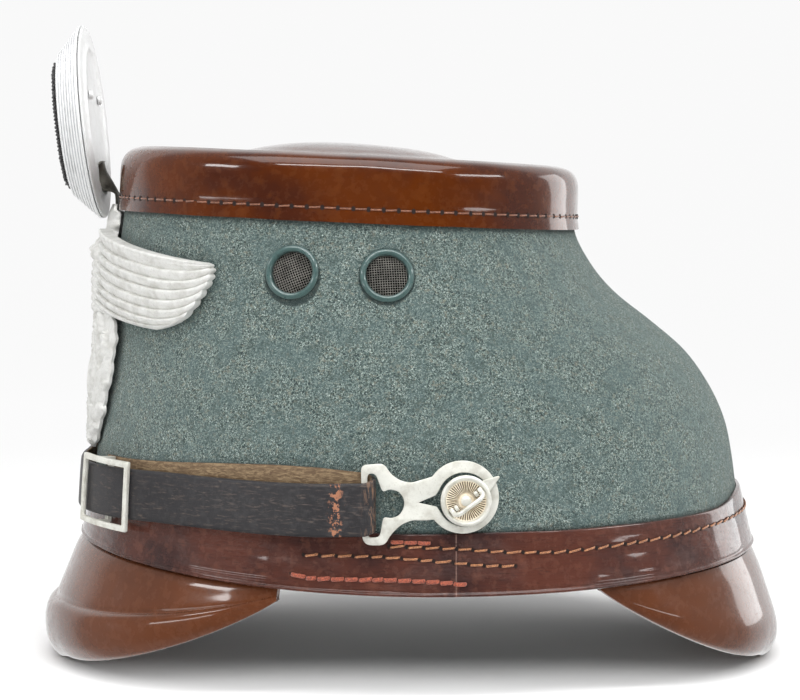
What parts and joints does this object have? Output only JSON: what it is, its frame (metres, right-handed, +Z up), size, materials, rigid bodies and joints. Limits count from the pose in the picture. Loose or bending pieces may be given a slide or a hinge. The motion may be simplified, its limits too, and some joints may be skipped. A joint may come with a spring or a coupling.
{
  "type": "shako hat",
  "caption": "Felt-covered shako with a lacquered top, leather band, front and rear visors, vents, badge plate, cockade and chin strap with turning side locks.",
  "frame": {"origin": "on the surface that it stands on, under the middle of its box", "axes": "+Z up; the front of the hat points to -X and its left side to -Y"},
  "size_m": [0.2382, 0.1948, 0.2023],
  "materials": {
    "felt": "mottled grey-green wool felt",
    "cap": "gloss brown lacquer",
    "band": "gloss dark brown leather",
    "visor": "semi-gloss brown lacquer",
    "enamel": "grey-green enamel",
    "wire": "dull woven wire",
    "aluminium": "matt cast aluminium",
    "dark_steel": "dark oiled steel",
    "strap": "worn black-brown leather",
    "cloth": "black cloth"
  },
  "bodies": {
    "hat": {"felt_body": "felt", "top_cover": "cap", "base_band": "band", "front_visor": "visor", "rear_visor": "visor", "badge_plate": "aluminium", "cockade_shell": "aluminium", "cockade_back": "aluminium", "cockade_rivet_1": "aluminium", "cockade_rivet_2": "aluminium", "cockade_field": "cloth", "cockade_tongue": "dark_steel", "chin_strap": "strap", "vent_ring_near_1": "enamel", "vent_mesh_near_1": "wire", "vent_ring_near_2": "enamel", "vent_mesh_near_2": "wire", "slide_buckle_near": "aluminium", "strap_fitting_near": "aluminium", "post_near": "dark_steel", "vent_ring_far_1": "enamel", "vent_mesh_far_1": "wire", "vent_ring_far_2": "enamel", "vent_mesh_far_2": "wire", "slide_buckle_far": "aluminium", "strap_fitting_far": "aluminium", "post_far": "dark_steel"},
    "near_button": {"lock_button_near": "aluminium"},
    "far_button": {"lock_button_far": "aluminium"},
    "near_bail": {"bail_near": "aluminium"},
    "far_bail": {"bail_far": "aluminium"}
  },
  "joints": [
    {"name": "near_button_turn", "type": "hinge", "parent": "hat", "child": "near_button", "pos_m": [0.0148, -0.0861, 0.0618], "axis": [0.0224, -0.9933, 0.1138], "range_deg": [0, 144]},
    {"name": "near_bail_fold", "type": "hinge", "parent": "near_button", "child": "near_bail", "pos_m": [0.01497, -0.0938, 0.06268], "axis": [0.8066, 0.0853, 0.5849], "range_deg": [-102, 38]},
    {"name": "far_button_turn", "type": "hinge", "parent": "hat", "child": "far_button", "pos_m": [0.0148, 0.0861, 0.0618], "axis": [-0.0224, -0.9933, -0.1138], "range_deg": [0, 144]},
    {"name": "far_bail_fold", "type": "hinge", "parent": "far_button", "child": "far_bail", "pos_m": [0.01497, 0.0938, 0.06268], "axis": [-0.8066, 0.0853, -0.5849], "range_deg": [-102, 38]}
  ]
}
